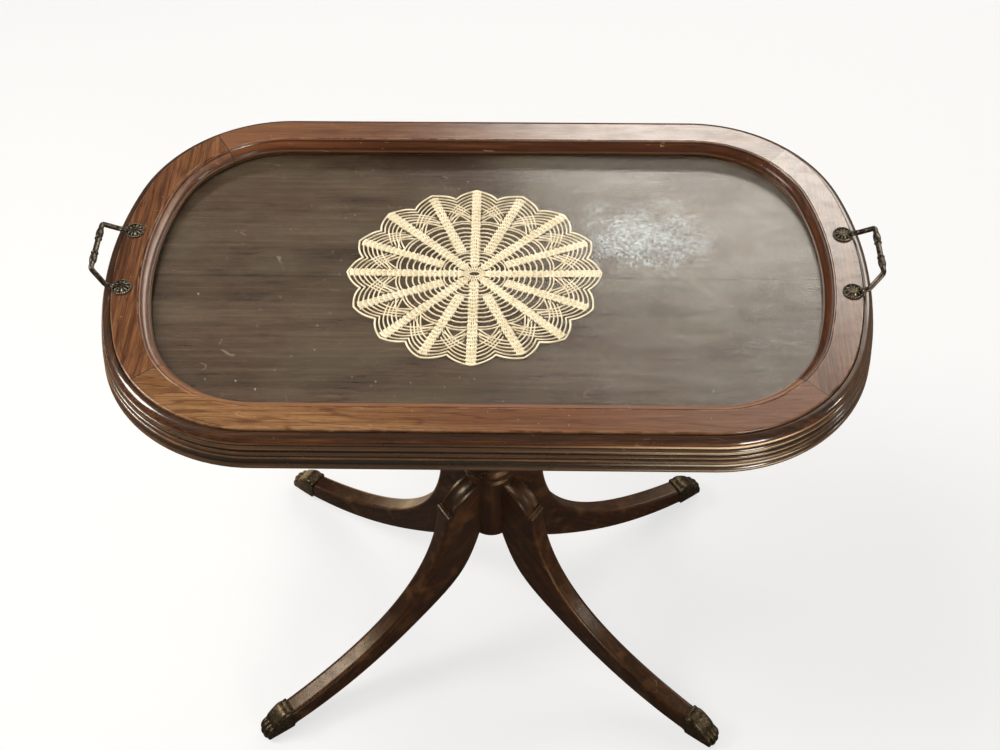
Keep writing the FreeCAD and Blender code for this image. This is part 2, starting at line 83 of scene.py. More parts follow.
class Paint:
    # a material, or the world's light, and the one method that adds nodes to it
    def __init__(self, name, kind=bpy.data.materials):
        self.material = kind.new(name)
        self.material.use_nodes = True
        self.material.node_tree.nodes.clear()

    def node(self, kind, settings=None, values=None, output=0):
        tree = self.material.node_tree
        made = tree.nodes.new(kind)
        for key, value in (settings or {}).items():
            if key == "stops":
                for index, (place, colour) in enumerate(value):
                    stops = made.color_ramp.elements
                    stop = stops[index] if index < 2 else stops.new(place)
                    stop.position = place
                    stop.color = (*colour, 1.0)
            else:
                setattr(made, key, value)
        for key, value in (values or {}).items():
            socket = made.inputs[key]
            if isinstance(value, Line):
                tree.links.new(value.socket, socket)
            elif socket.type == "RGBA":
                socket.default_value = (*value, 1.0)
            else:
                socket.default_value = value
        return Line(self, made.outputs[output]) if made.outputs else made

    def maths(self, operation, *operands):
        return self.node("ShaderNodeMath", {"operation": operation}, dict(enumerate(operands)))

    def span(self, value, low, high, start=0.0, end=1.0):
        # low..high becomes start..end, held outside, with soft shoulders
        limits = {"Value": value, "From Min": low, "From Max": high, "To Min": start, "To Max": end}
        return self.node("ShaderNodeMapRange", {"interpolation_type": "SMOOTHSTEP"}, limits)

    def band(self, value, limits):
        # rises between the first two limits and falls between the last two
        return self.span(value, *limits[:2]) * self.span(value, *limits[2:], 1.0, 0.0)

    def stripe(self, value, centre, half, soft):
        # 1 within half of the centre, falling to 0 over soft
        return self.span(self.maths("ABSOLUTE", value - centre), half, half + soft, 1.0, 0.0)

    def point(self):
        return self.node("ShaderNodeTexCoord", output="Object")

    def axis(self, point, index):
        # 0, 1 or 2 for the X, Y or Z of a point
        return self.node("ShaderNodeSeparateXYZ", None, {"Vector": point}, index)

    def turned(self, point, angles):
        turns = tuple(math.radians(a) for a in angles)
        return self.node("ShaderNodeMapping", None, {"Vector": point, "Rotation": turns})

    def shifted(self, point, shift):
        return self.node("ShaderNodeVectorMath", {"operation": "ADD"}, {0: point, 1: shift})

    def stretched(self, point, scale):
        return self.node("ShaderNodeVectorMath", {"operation": "MULTIPLY"}, {0: point, 1: scale})

    def noise(self, point, scale, detail=3.0, rough=0.55, bend=0.0):
        if isinstance(scale, tuple):
            point, scale = self.stretched(point, scale), 1.0
        values = {"Vector": point, "Scale": scale, "Detail": detail, "Roughness": rough,
                  "Distortion": bend}
        return self.node("ShaderNodeTexNoise", None, values)

    def clouds(self, point, scale, limits, ends=(0.0, 1.0), **kind):
        # a noise whose limits become the two ends
        return self.span(self.noise(point, scale, **kind), *limits, *ends)

    def specks(self, point, scale, size, share):
        # small round dots, one in every few cells
        cells = {"Vector": point, "Scale": scale}
        near = self.node("ShaderNodeTexVoronoi", None, cells)
        lot = self.node("ShaderNodeTexVoronoi", None, cells, 1)
        pick = self.node("ShaderNodeSeparateColor", None, {"Color": lot})
        return self.span(near, size * 0.6, size, 1.0, 0.0) * self.span(pick, share, share + 0.02, 1.0, 0.0)

    def scratches(self, point, scale, width, level, seed, turn):
        # short hairlines that run roughly one way: contours of a stretched noise, kept where
        # a second noise is above level
        moved = self.turned(self.shifted(point, (seed, seed * 0.7, 0)), (0, 0, turn))
        slow = self.noise(moved, (scale * 0.35, scale * 2.2, scale), 0.0, 0.4)
        aside = self.shifted(moved, (3.1, 1.7, 0))
        keep = self.clouds(aside, scale * 1.6, (level, level + 0.05), detail=1.0)
        return self.stripe(slow, 0.5, width * 0.3, width) * keep

    def marks(self, point, look):
        # the sum of all scratches and specks that a settings dictionary lists
        total = 0.0
        for scratch in look["scratches"]:
            total = self.scratches(point, *scratch) + total
        for speck in look["specks"]:
            total = self.specks(point, *speck) + total
        return total

    def ramp(self, value, *stops):
        return self.node("ShaderNodeValToRGB", {"stops": stops}, {"Fac": value})

    def mix(self, factor, first, second):
        return self.node("ShaderNodeMix", {"data_type": "RGBA"}, {0: factor, 6: first, 7: second}, 2)

    def over(self, colour, look, amount=1.0):
        # a second colour laid over the first; look is its code and its greatest share
        code, share = look
        return self.mix(amount * share, colour, shade(code))

    def bump(self, height, depth, normal=None):
        values = {"Height": height, "Distance": depth, "Strength": 1.0}
        if normal:
            values["Normal"] = normal
        return self.node("ShaderNodeBump", None, values)

    def principled(self, **values):
        named = {key.replace("_", " "): value for key, value in values.items()}
        return self.node("ShaderNodeBsdfPrincipled", None, named)

    def blended(self, factor, first, second):
        # one surface at factor 0, the other at 1
        return self.node("ShaderNodeMixShader", None, {0: factor, 1: first, 2: second})

    def finish(self, surface):
        self.node("ShaderNodeOutputMaterial", None, {"Surface": surface})
        return self.material


def wear(piece, material):
    piece.data.materials.clear()
    piece.data.materials.append(material)


view = dict(place=(0.0354, -1.0611, 1.7899), tilt=39.38, swing=1.24, roll=-0.47, lens=54.0, sensor=36.0)


def makeCamera():
    turn = Matrix.Rotation(math.radians(view["swing"]), 4, "Z")
    turn = turn @ Matrix.Rotation(math.radians(view["tilt"]), 4, "X")
    turn = turn @ Matrix.Rotation(math.radians(view["roll"]), 4, "Z")
    data = bpy.data.cameras.new("camera")
    data.lens = view["lens"]
    data.sensor_width = view["sensor"]
    camera = bpy.data.objects.new("camera", data)
    bpy.context.scene.collection.objects.link(camera)
    camera.matrix_world = Matrix.Translation(view["place"]) @ turn
    bpy.context.scene.camera = camera


def ray(paint, name):
    return paint.node("ShaderNodeLightPath", output=name)


def seenDirectly(paint):
    # 1 for what the camera sees, also straight through the glass
    bounces = ray(paint, "Diffuse Depth") + ray(paint, "Glossy Depth")
    through = ray(paint, "Is Transmission Ray") * paint.maths("LESS_THAN", bounces, 0.5)
    return ray(paint, "Is Camera Ray") + through


# the floor is pale to the eye and dark to everything else, so that it throws little light upwards
ground = dict(
    size=9.0, tone=(0.83, 0.83, 0.82), dark=(0.14, 0.13, 0.12), glow=1.12, glowShare=0.6,
    shine=7.0, shineTone=(1.0, 0.76, 0.48),
    # bright stretches that only polished surfaces mirror, with the limits of a band along X and Y
    stretches=(
        dict(x=(0.10, 0.50, 1.3, 1.7), y=(-1.8, -1.4, -0.82, -0.68), share=1.0),
        dict(x=(-0.95, -0.75, -0.30, -0.10), y=(0.15, 0.30, 0.85, 1.0), share=0.3),
    ),
)


def makeFloor():
    clearSelection()
    bpy.ops.mesh.primitive_plane_add(size=ground["size"], location=(0, 0, 0))
    floor = bpy.context.object
    floor.name = "floor"
    paint = Paint("pale floor")
    plain = paint.node("ShaderNodeBsdfDiffuse", None, {"Color": ground["tone"]})
    dark = paint.node("ShaderNodeBsdfDiffuse", None, {"Color": ground["dark"]})
    glow = paint.node("ShaderNodeEmission", None, {"Strength": ground["glow"]})
    pale = paint.blended(ground["glowShare"], plain, glow)
    surface = paint.blended(seenDirectly(paint), dark, pale)
    place = paint.point()
    x, y = paint.axis(place, 0), paint.axis(place, 1)
    bright = 0.0
    for stretch in ground["stretches"]:
        spot = paint.band(x, stretch["x"]) * paint.band(y, stretch["y"])
        bright = spot * stretch["share"] + bright
    mirrored = ray(paint, "Is Glossy Ray") * ray(paint, "Is Reflection Ray")
    warm = {"Strength": ground["shine"], "Color": ground["shineTone"]}
    shine = paint.node("ShaderNodeEmission", None, warm)
    wear(floor, paint.finish(paint.blended(mirrored * bright, surface, shine)))


# large soft light behind the right end, faded to its left side and upwards
card = dict(
    place=(1.35, 2.45, 2.75), aim=(0.15, 0.05, 0.67), size=(4.0, 3.4), glow=5.2, tone=(1.0, 0.96, 0.88),
    # both fades run askew: what the card's own X and Y count for
    level=(0.8, 1.62), leftTilt=(1.6, -0.62),
    left=(-0.60, -0.37), bottom=(-0.42, -0.22),
    tops=((0.06, 0.28, 1.0, 0.26), (-0.07, 0.0, 1.0, 0.64)),   # two steps: from, to, and the light at each
)


def makeCard():
    clearSelection()
    bpy.ops.mesh.primitive_plane_add(size=1.0, location=(0, 0, 0))
    plane = bpy.context.object
    plane.name = "lightCard"
    place = Vector(card["place"])
    plane.scale = (*card["size"], 1.0)
    plane.rotation_mode = "QUATERNION"
    plane.rotation_quaternion = (Vector(card["aim"]) - place).to_track_quat("Z", "Y")
    plane.location = place
    paint = Paint("light card")
    point = paint.point()
    across = paint.axis(point, 0)
    level = paint.axis(point, 1) * card["level"][1] + across * card["level"][0]
    fade = paint.span(across * card["leftTilt"][0] + level * card["leftTilt"][1], *card["left"])
    fade = fade * paint.span(level, *card["bottom"]) * (1.0 - seenDirectly(paint))
    for step in card["tops"]:
        fade = fade * paint.span(level, *step)
    glow = paint.node("ShaderNodeEmission", None, {"Strength": card["glow"], "Color": card["tone"]})
    clear = paint.node("ShaderNodeBsdfTransparent")
    wear(plane, paint.finish(paint.blended(fade, clear, glow)))


lampTone = (1.0, 0.95, 0.88)
lamps = {
    "topLamp": dict(place=(-0.9, -0.1, 2.9), aim=(0, 0, 0.6), size=1.0, power=31.0, shine=False),
    "leftLamp": dict(place=(-2.0, 0.0, 2.0), aim=(0, 0, 0.5), size=0.8, power=30.0, shine=True),
    "rightLamp": dict(place=(2.4, -0.45, 0.95), aim=(0.2, 0, 0.4), size=0.30, power=4.5, shine=True),
    "frontLamp": dict(place=(1.5, -2.6, 1.25), aim=(0.1, 0, 0.5), size=0.7, power=24.0, shine=True),
}
roomGlow = 0.09   # the room's light on the table, while the eye sees it white


def makeLamps():
    for name, lamp in lamps.items():
        data = bpy.data.lights.new(name, "AREA")
        data.energy = lamp["power"]
        data.size = lamp["size"]
        data.color = lampTone
        made = bpy.data.objects.new(name, data)
        bpy.context.scene.collection.objects.link(made)
        made.location = lamp["place"]
        made.visible_glossy = lamp["shine"]
        made.rotation_mode = "QUATERNION"
        aim = Vector(lamp["aim"]) - Vector(lamp["place"])
        made.rotation_quaternion = aim.to_track_quat("-Z", "Y")


def makeRoom():
    paint = Paint("room", bpy.data.worlds)
    bpy.context.scene.world = paint.material
    strength = seenDirectly(paint) * (1.0 - roomGlow) + roomGlow
    back = paint.node("ShaderNodeBackground", None, {"Color": (1, 1, 1), "Strength": strength})
    paint.node("ShaderNodeOutputWorld", None, {"Surface": back})


makeCamera()
makeFloor()
makeCard()
makeLamps()
makeRoom()
bpy.context.scene.view_settings.view_transform = "Standard"
print("camera, floor and lights made")


# the tray's outline has straight sides, round corners and slightly bowed ends
cornerRadius, endRadius = 151 * mm, 370 * mm
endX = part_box("tray_end_right")[1].x - endRadius
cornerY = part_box("tray_rail_back")[1].y - cornerRadius
cornerX = endX + math.sqrt((endRadius - cornerRadius) ** 2 - cornerY ** 2)
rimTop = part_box("tray_rail_front")[1].z

# the way each corner joint runs, in degrees round its corner's centre
jointTurns = {"front_left": -142.0, "back_left": 122.5, "back_right": 47.0, "front_right": -44.5}
jointHalf, jointSoft = 0.25 * mm, 0.55 * mm


def inwards(paint, point):
    # distance in from the tray's outer edge, the same all along a moulding that runs round the frame
    x, y = [paint.maths("ABSOLUTE", paint.axis(point, k)) for k in (0, 1)]
    past = paint.maths("MAXIMUM", x - cornerX, 0.0)
    up = y - cornerY
    corner = cornerRadius - paint.maths("SQRT", past * past + up * up)
    far = x - endX
    bow = endRadius - paint.maths("SQRT", far * far + y * y)
    atEnd = paint.maths("LESS_THAN", y * (cornerX - endX), far * cornerY)
    return corner + (bow - corner) * atEnd


def joints(paint, place, side):
    # the thin dark lines where one length of moulding meets the next
    lines = 0.0
    for corner, heading in jointTurns.items():
        if side in corner:
            turn = math.radians(heading)
            x = paint.axis(place, 0) - (cornerX if "right" in corner else -cornerX)
            y = paint.axis(place, 1) - (cornerY if "back" in corner else -cornerY)
            lines = paint.stripe(x * math.sin(turn) - y * math.cos(turn), 0.0, jointHalf, jointSoft) + lines
    return lines


# every wood: its noises, the shares of fibre, figure and fine fibre in the tone, and its growth rings
woodGrain = dict(
    fibre=dict(scale=(5, 190, 190), detail=6.0, rough=0.7),
    figure=dict(scale=(2.6, 26, 26), rough=0.5, bend=0.4),
    fine=dict(scale=(26, 850, 850), rough=0.7),
    pores=dict(scale=(90, 1700, 1700), limits=(0.57, 0.65), detail=2.0),
    fibreShare=0.5, figureShare=0.22, fineShare=0.36, offset=0.04, stops=(0.39, 0.51, 0.63), poreShare=0.55,
    rings=13.0, ringRagged=0.9, ringWidth=0.15, fineRelief=0.4, poreRelief=0.6,
)


def grain(paint, point, tones, flame=0.0, shift=0.0):
    # long fibres along X, slow figure with its dark growth lines, and short dark pores
    dark, middle, light, pore = [shade(code) for code in tones]
    point = paint.shifted(point, (shift, shift * 0.31, shift * 0.17))
    fibre, figure, fine = [paint.noise(point, **woodGrain[kind]) for kind in ("fibre", "figure", "fine")]
    pores = paint.clouds(point, **woodGrain["pores"])
    tone = fibre * woodGrain["fibreShare"] + figure * woodGrain["figureShare"]
    tone = tone + fine * woodGrain["fineShare"] - woodGrain["offset"]
    if flame:
        rings = figure * woodGrain["rings"] + fibre * woodGrain["ringRagged"]
        rings = paint.maths("PINGPONG", rings, 0.5)
        tone = tone - paint.span(rings, 0.0, woodGrain["ringWidth"], 1.0, 0.0) * flame
    low, centre, high = woodGrain["stops"]
    colour = paint.ramp(tone, (low, dark), (high, light), (centre, middle))
    relief = fine * woodGrain["fineRelief"] - pores * woodGrain["poreRelief"]
    return paint.mix(pores * woodGrain["poreShare"], colour, pore), relief, tone


# In the settings below, tones are a wood's dark, middle, light and pore colours, and every other colour
# has its greatest share. Scratches are (scale, width, level, seed, turn), specks are (scale, size, share).

trayTones = ("4a2814", "754929", "966a45", "2f170c")
frontTones = ("5b3a22", "865c36", "a98055", "2f190d")

# places across the frame are counted inwards from its outer edge
trayLook = dict(
    outerArris=(0.7 * mm, 0.4 * mm, 0.8 * mm), outerShare=0.45, innerArris=(27.1 * mm, 0.35 * mm, 0.5 * mm),
    quirk=(29.9 * mm, 0.3 * mm, 0.4 * mm), outside=(rimTop - 4 * mm, rimTop - 7 * mm),
    hollow=(28.0 * mm, 31.0 * mm), hollowShine=(28.5 * mm, 31.0 * mm), fillet=(36.9 * mm, 37.5 * mm),
    rubbed=("c99a74", 0.6), recessShade=("2a150c", 0.55), joint=("1c0d06", 0.8), mark=("d9b795", 0.4),
    patch=dict(scale=55.0, limits=(0.42, 0.62)),
    hollowShadeTone=("2c1407", 1.0), hollowShadeReach=(-0.24, -0.08),
    hollowShadeStreaks=dict(scale=(7, 150, 150), limits=(0.36, 0.62), ends=(0.2, 0.7), detail=5.0, rough=0.65),
    scratches=[(34.0, 0.007, 0.66, 2.0, 4.0)], specks=[(210.0, 0.16, 0.07)],
    gloss=dict(scale=30.0, limits=(0.3, 0.7), ends=(0.26, 0.44), detail=4.0), toneGloss=0.05,
    worn=dict(scale=(40, 90, 90), limits=(0.30, 0.62), ends=(0.72, 1.0), detail=4.0, rough=0.65),
    coatRough=0.22, shine=0.3, grainDepth=0.10 * mm, markDepth=0.08 * mm,
)

# the four lengths of the frame; the reaches of tints and painted shade run along X, that of a coat along Y
trayLengths = {
    "front": dict(
        node="tray_rail_front", tones=frontTones, turn=0, flame=0.11, shift=0.0, coatIor=1.7,
        hollow=("9a6a50", 0.55), hollowCoat=0.25, shadedHollow=False, filletHighlight=0.75, filletCoat=1.0,
        tint=("6a3518", 0.55), tintReach=(-0.20, 0.10, 0.0, 1.0)),
    "back": dict(
        node="tray_rail_back", tones=trayTones, turn=0, flame=0.03, shift=1.9, coatIor=2.6,
        hollow=("5a2a0a", 0.65), hollowCoat=0.05, shadedHollow=True, filletHighlight=0.2, filletCoat=0.25,
        tint=("a5714c", 0.4), tintReach=(-0.30, -0.08, 1.0, 0.0),
        coatPeak=(0.12, 0.04, 0.12), coatLowest=0.80, coatMore=0.12),
    "left": dict(
        node="tray_end_left", tones=trayTones, turn=90, flame=0.07, shift=3.7, coatIor=1.7,
        hollow=("9a7058", 0.25), hollowCoat=1.0, shadedHollow=False, filletHighlight=0.75, filletCoat=1.0),
    "right": dict(
        node="tray_end_right", tones=trayTones, turn=90, flame=0.03, shift=5.3, coatIor=2.6,
        hollow=("5a2a0a", 0.65), hollowCoat=0.1, shadedHollow=True, filletHighlight=0.2, filletCoat=0.25,
        coatReach=(-0.18, 0.0, 0.4, 1.0)),
}


def trayWood(side):
    look = trayLengths[side]
    paint = Paint("tray " + side + " mahogany")
    place = paint.point()
    x, y, z = [paint.axis(place, k) for k in range(3)]
    lengthwise = paint.turned(place, (0, 0, look["turn"]))
    colour, relief, tone = grain(paint, lengthwise, look["tones"], look["flame"], look["shift"])
    inward = inwards(paint, place)
    fillet = paint.span(inward, *trayLook["fillet"])
    hollow = paint.span(inward, *trayLook["hollow"]) * (1.0 - fillet)
    if "tint" in look:
        colour = paint.over(colour, look["tint"], paint.span(x, *look["tintReach"]))
    # painted light and shade in the hollow: lighter on the front and left lengths, which face the light,
    # darker on the back and right, which face away
    colour = paint.over(colour, look["hollow"], hollow)
    if look["shadedHollow"]:
        # painted shade in the hollow of the back and right lengths, in long streaks
        hollowShadeStreaks = paint.clouds(lengthwise, **trayLook["hollowShadeStreaks"]) * paint.span(x, *trayLook["hollowShadeReach"])
        colour = paint.over(colour, trayLook["hollowShadeTone"], hollowShadeStreaks * hollow)
    # rubbed arrises, painted shade in the quirk and on the frame from 4 to 7 mm under its top downwards, and
    # a painted highlight on the thin fillet by the glass
    patch = paint.clouds(place, **trayLook["patch"])
    rubbed = paint.stripe(inward, *trayLook["innerArris"]) * patch
    rubbed = rubbed + paint.stripe(inward, *trayLook["outerArris"]) * patch * trayLook["outerShare"]
    # painted highlight on the fillet, strong on the front and left lengths, weak on the back and right
    rubbed = rubbed + fillet * look["filletHighlight"]
    quirkAndLowShade = paint.stripe(inward, *trayLook["quirk"]) + paint.span(z, *trayLook["outside"])
    colour = paint.over(colour, trayLook["rubbed"], rubbed)
    colour = paint.over(colour, trayLook["recessShade"], paint.maths("MINIMUM", quirkAndLowShade, 1.0))
    colour = paint.over(colour, trayLook["joint"], joints(paint, place, side))
    marks = paint.marks(place, trayLook)
    colour = paint.over(colour, trayLook["mark"], marks)
    gloss = paint.clouds(place, **trayLook["gloss"]) + tone * trayLook["toneGloss"]
    coat = paint.span(inward, *trayLook["hollowShine"], 1.0, look["hollowCoat"])
    coat = coat * (1.0 - fillet) * paint.clouds(place, **trayLook["worn"]) + fillet * look["filletCoat"]
    if "coatPeak" in look:
        # shines most a little right of the middle
        coat = coat * (paint.stripe(x, *look["coatPeak"]) * look["coatMore"] + look["coatLowest"])
    if "coatReach" in look:
        # duller towards the front
        coat = coat * paint.span(y, *look["coatReach"])
    normal = paint.bump(relief, trayLook["grainDepth"])
    normal = paint.bump(marks * -1.0, trayLook["markDepth"], normal)
    return paint.finish(paint.principled(
        Base_Color=colour, Roughness=gloss, Normal=normal, Coat_Weight=coat, Coat_IOR=look["coatIor"],
        Coat_Roughness=trayLook["coatRough"], Specular_IOR_Level=trayLook["shine"]))


# ridges, quirks and painted highlights are (drop below the rim, half width, soft border), in mm
edge = dict(
    tones=("2b150a", "5e3417", "925c2e", "120804"),
    ridges=[(11.2, 0.6, 1.2), (16.2, 0.5, 0.8), (23.6, 0.4, 0.7), (27.2, 0.4, 0.6), (38.6, 0.5, 0.8)],
    quirks=[(12.7, 0.3, 0.6), (19.4, 0.9, 0.7), (25.6, 0.3, 0.6), (32.4, 2.4, 2.0), (43.2, 0.5, 0.8)],
    upperHighlight=[(10.4, 0.7, 1.1)], lowerHighlight=[(16.0, 0.3, 0.7)], lowerShare=0.7,
    paintedHighlight=("dcae7c", 1.0), highlightReach=(0.0, 0.26, 0.05, 0.60),
    old=("2b2013", 0.6), underTrayShadeBack=("2b2013", 0.1), underTrayShadeReach=(4.0 * mm, 8.0 * mm),
    lower=("5a4934", 0.6), lowerReach=(12.6 * mm, 13.4 * mm), pale=("8a6a4e", 0.25),
    rubbed=("a87549", 1.0), recessShade=("120805", 0.75), joint=("0e0603", 0.8), mark=("b98e6c", 0.35),
    patch=dict(scale=(7, 60, 60), limits=(0.40, 0.64), ends=(0.12, 0.67), detail=4.0, rough=0.6),
    scratches=[(34.0, 0.007, 0.66, 5.0, 4.0)], specks=[(190.0, 0.15, 0.06)],
    gloss=dict(scale=32.0, limits=(0.3, 0.7), ends=(0.24, 0.42), detail=4.0),
    worn=dict(scale=(10, 120, 120), limits=(0.32, 0.60), ends=(0.55, 1.0), detail=4.0, rough=0.65),
    coatIor=1.8, coatRough=0.13, shine=0.3, grainDepth=0.08 * mm,
)


def edgeWood(side, turn, shift):
    paint = Paint("moulded edge " + side)
    place = paint.point()
    lengthwise = paint.turned(place, (0, 0, turn))
    colour, relief = grain(paint, lengthwise, edge["tones"], shift=shift)[:2]
    drop = rimTop - paint.axis(place, 2)

    def lines(kind):
        total = 0.0
        for line in edge[kind]:
            total = paint.stripe(drop, *[length * mm for length in line]) + total
        return total

    # painted shade: nearly black just under the tray, little of it on the back; olive brown on the lower
    # mouldings
    old = edge["underTrayShadeBack" if side == "back" else "old"]
    colour = paint.over(colour, old, paint.span(drop, *edge["underTrayShadeReach"], 1.0, 0.0))
    colour = paint.over(colour, edge["lower"], paint.span(drop, *edge["lowerReach"]))
    # painted reflection of the room: the whole right length lightened
    if side == "right":
        colour = paint.over(colour, edge["pale"])
    colour = paint.over(colour, edge["rubbed"], lines("ridges") * paint.clouds(lengthwise, **edge["patch"]))
    if side == "front":
        # painted highlight on the lower part of the quarter round, growing towards the right
        paintedHighlight = lines("upperHighlight") + lines("lowerHighlight") * edge["lowerShare"]
        right = paint.span(paint.axis(place, 0), *edge["highlightReach"])
        colour = paint.over(colour, edge["paintedHighlight"], paintedHighlight * right)
    # painted shade: dark lines in the quirks and under the bottom edge, and a dark band in the cove of the
    # fascia
    colour = paint.over(colour, edge["recessShade"], lines("quirks"))
    colour = paint.over(colour, edge["joint"], joints(paint, place, side))
    colour = paint.over(colour, edge["mark"], paint.marks(place, edge))
    return paint.finish(paint.principled(
        Base_Color=colour, Roughness=paint.clouds(place, **edge["gloss"]),
        Normal=paint.bump(relief, edge["grainDepth"]), Coat_Weight=paint.clouds(lengthwise, **edge["worn"]),
        Coat_IOR=edge["coatIor"], Coat_Roughness=edge["coatRough"], Specular_IOR_Level=edge["shine"]))


# column, legs and cleat; heading and tilt lay the fibres along a piece
stand = dict(
    tones=("1e0f07", "3a1e0d", "623a19", "100703"), worn=("7c522f", 0.45), mark=("a97a58", 0.35),
    patch=dict(scale=36.0, limits=(0.52, 0.70), detail=4.0),
    scratches=[(30.0, 0.008, 0.64, 7.0, 35.0)], specks=[],
    gloss=dict(scale=34.0, limits=(0.3, 0.7), ends=(0.27, 0.46), detail=4.0),
    coat=0.22, coatRough=0.24, shine=0.6, shineTone=(1.0, 0.74, 0.48), grainDepth=0.10 * mm,
    cleat=dict(heading=90, tilt=0, shift=6.1), column=dict(heading=0, tilt=90, shift=1.2), legTilt=-47,
    legShifts={"front_left": 0.3, "front_right": 2.1, "back_left": 3.3, "back_right": 4.7},
)


def standWood(name, heading, tilt, shift):
    paint = Paint(name)
    place = paint.point()
    lengthwise = paint.turned(paint.turned(place, (0, 0, -heading)), (0, tilt, 0))
    colour, relief = grain(paint, lengthwise, stand["tones"], shift=shift)[:2]
    colour = paint.over(colour, stand["worn"], paint.clouds(place, **stand["patch"]))
    colour = paint.over(colour, stand["mark"], paint.marks(place, stand))
    return paint.finish(paint.principled(
        Base_Color=colour, Roughness=paint.clouds(place, **stand["gloss"]),
        Normal=paint.bump(relief, stand["grainDepth"]),
        Coat_Weight=stand["coat"], Coat_Roughness=stand["coatRough"],
        Specular_IOR_Level=stand["shine"], Specular_Tint=stand["shineTone"]))


def legHeading(corner):
    low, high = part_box("leg_" + corner)
    footX = high.x if "right" in corner else low.x
    footY = high.y if "back" in corner else low.y
    return math.degrees(math.atan2(footY, footX))


# the two boards of the top
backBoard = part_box("top_board_back")
board = dict(
    tones=("2a1f16", "3d2e22", "524132", "160e09"), shelter=("1a130e", 0.55), mark=("9a8d7e", 0.35),
    blotch=("58503f", 0.30), seam=("120b08", 0.8), bloom=("abb9c0", 0.66), dust=("c9c4bc", 0.6),
    blotches=dict(scale=(9, 24, 24), limits=(0.36, 0.66), detail=4.0, rough=0.6, bend=0.4),
    seamLine=(backBoard[0].y, 0.25 * mm, 0.5 * mm),
    scratches=[(22.0, 0.004, 0.60, 1.0, 3.0), (18.0, 0.004, 0.66, 9.0, 62.0)], specks=[],
    dusts=dict(scratches=[], specks=[(95.0, 0.11, 0.10), (210.0, 0.13, 0.05)]),
    gloss=dict(scale=11.0, limits=(0.3, 0.7), ends=(0.34, 0.46), detail=4.0), bloomGloss=0.2,
    streaks=dict(scale=(30, 170, 170), detail=6.0, rough=0.75, bend=0.3),
    broad=dict(scale=(14, 26, 26), detail=5.0, rough=0.65), coat=(0.38, 0.60, 0.5, 1.0), bloomCoat=0.5,
    coatIor=1.85, coatRough=0.22, shine=0.1,
    bloomAt=(0.160, 0.052, backBoard[1].z), bloomSize=(0.085, 0.055), bloomFade=(0.2, 1.1, 1.0, 0.0),
    ragged=dict(scale=(46, 60, 60), detail=6.0, rough=0.65, bend=0.4), raggedShare=2.6,
    broken=dict(scale=(300, 420, 300), limits=(0.45, 0.57), ends=(0.08, 1.0), detail=4.0, rough=0.7,
                bend=0.4),
)
# the strip along the back of the tray's opening that gets no light
shelterReach = dict(shift=(-3 * mm, 23 * mm, 0), fade=(38.0 * mm, 41.0 * mm, 1.0, 0.0))


def frameShade(paint, place):
    # where the back of the frame keeps the room's light off the top, and so off the glass over it
    return paint.span(inwards(paint, paint.shifted(place, shelterReach["shift"])), *shelterReach["fade"])


def paleBloom(paint, place):
    # a milky cloud in the finish, broken by the grain
    away = paint.shifted(place, tuple(-v for v in board["bloomAt"]))
    away = paint.stretched(away, (1 / board["bloomSize"][0], 1 / board["bloomSize"][1], 0))
    away = paint.node("ShaderNodeVectorMath", {"operation": "LENGTH"}, {0: away}, "Value")
    ragged = (paint.noise(place, **board["ragged"]) - 0.5) * board["raggedShare"]
    return paint.span(away + ragged, *board["bloomFade"]) * paint.clouds(place, **board["broken"])


def boardWood(name, shift):
    paint = Paint(name)
    place = paint.point()
    colour = grain(paint, place, board["tones"], shift=shift)[0]
    shelter, bloom = frameShade(paint, place), paleBloom(paint, place)
    colour = paint.over(colour, board["shelter"], shelter)
    colour = paint.over(colour, board["blotch"], paint.clouds(place, **board["blotches"]))
    colour = paint.over(colour, board["seam"], paint.stripe(paint.axis(place, 1), *board["seamLine"]))
    colour = paint.over(colour, board["bloom"], bloom)
    colour = paint.over(colour, board["dust"], paint.marks(place, board["dusts"]))
    colour = paint.over(colour, board["mark"], paint.marks(place, board))
    # the varnish is worn in short streaks along the boards
    streaks = paint.noise(place, **board["streaks"]) * 0.5 + paint.noise(place, **board["broad"]) * 0.5
    coat = paint.span(streaks, *board["coat"]) * (1.0 - shelter) * (1.0 - bloom * board["bloomCoat"])
    return paint.finish(paint.principled(
        Base_Color=colour, Roughness=paint.clouds(place, **board["gloss"]) + bloom * board["bloomGloss"],
        Coat_Weight=coat, Coat_IOR=board["coatIor"], Coat_Roughness=board["coatRough"],
        Specular_IOR_Level=board["shine"]))


for side, look in trayLengths.items():
    wear(nodes[look["node"]], trayWood(side))
    wear(nodes["edge_" + side], edgeWood(side, look["turn"], 2.3 + look["turn"] * 0.01))
backWood = nodes["tray_rail_back"].data.materials[0]
leftWood = nodes["tray_end_left"].data.materials[0]
for side, look in trayLengths.items():
    wear(nodes["glass_bead_" + side], leftWood if look["turn"] else backWood)
wear(nodes["tray_corner_splines"], leftWood)
wear(nodes["top_board_front"], boardWood("front board veneer", 0.4))
wear(nodes["top_board_back"], boardWood("back board veneer", 4.1))
wear(nodes["top_cleat"], standWood("cleat wood", **stand["cleat"]))
wear(nodes["column"], standWood("column mahogany", **stand["column"]))
wear(nodes["column_wedge"], nodes["top_cleat"].data.materials[0])
for corner, shift in stand["legShifts"].items():
    name = "leg mahogany " + corner.replace("_", " ")
    wear(nodes["leg_" + corner], standWood(name, legHeading(corner), stand["legTilt"], shift))
print("wood finished")


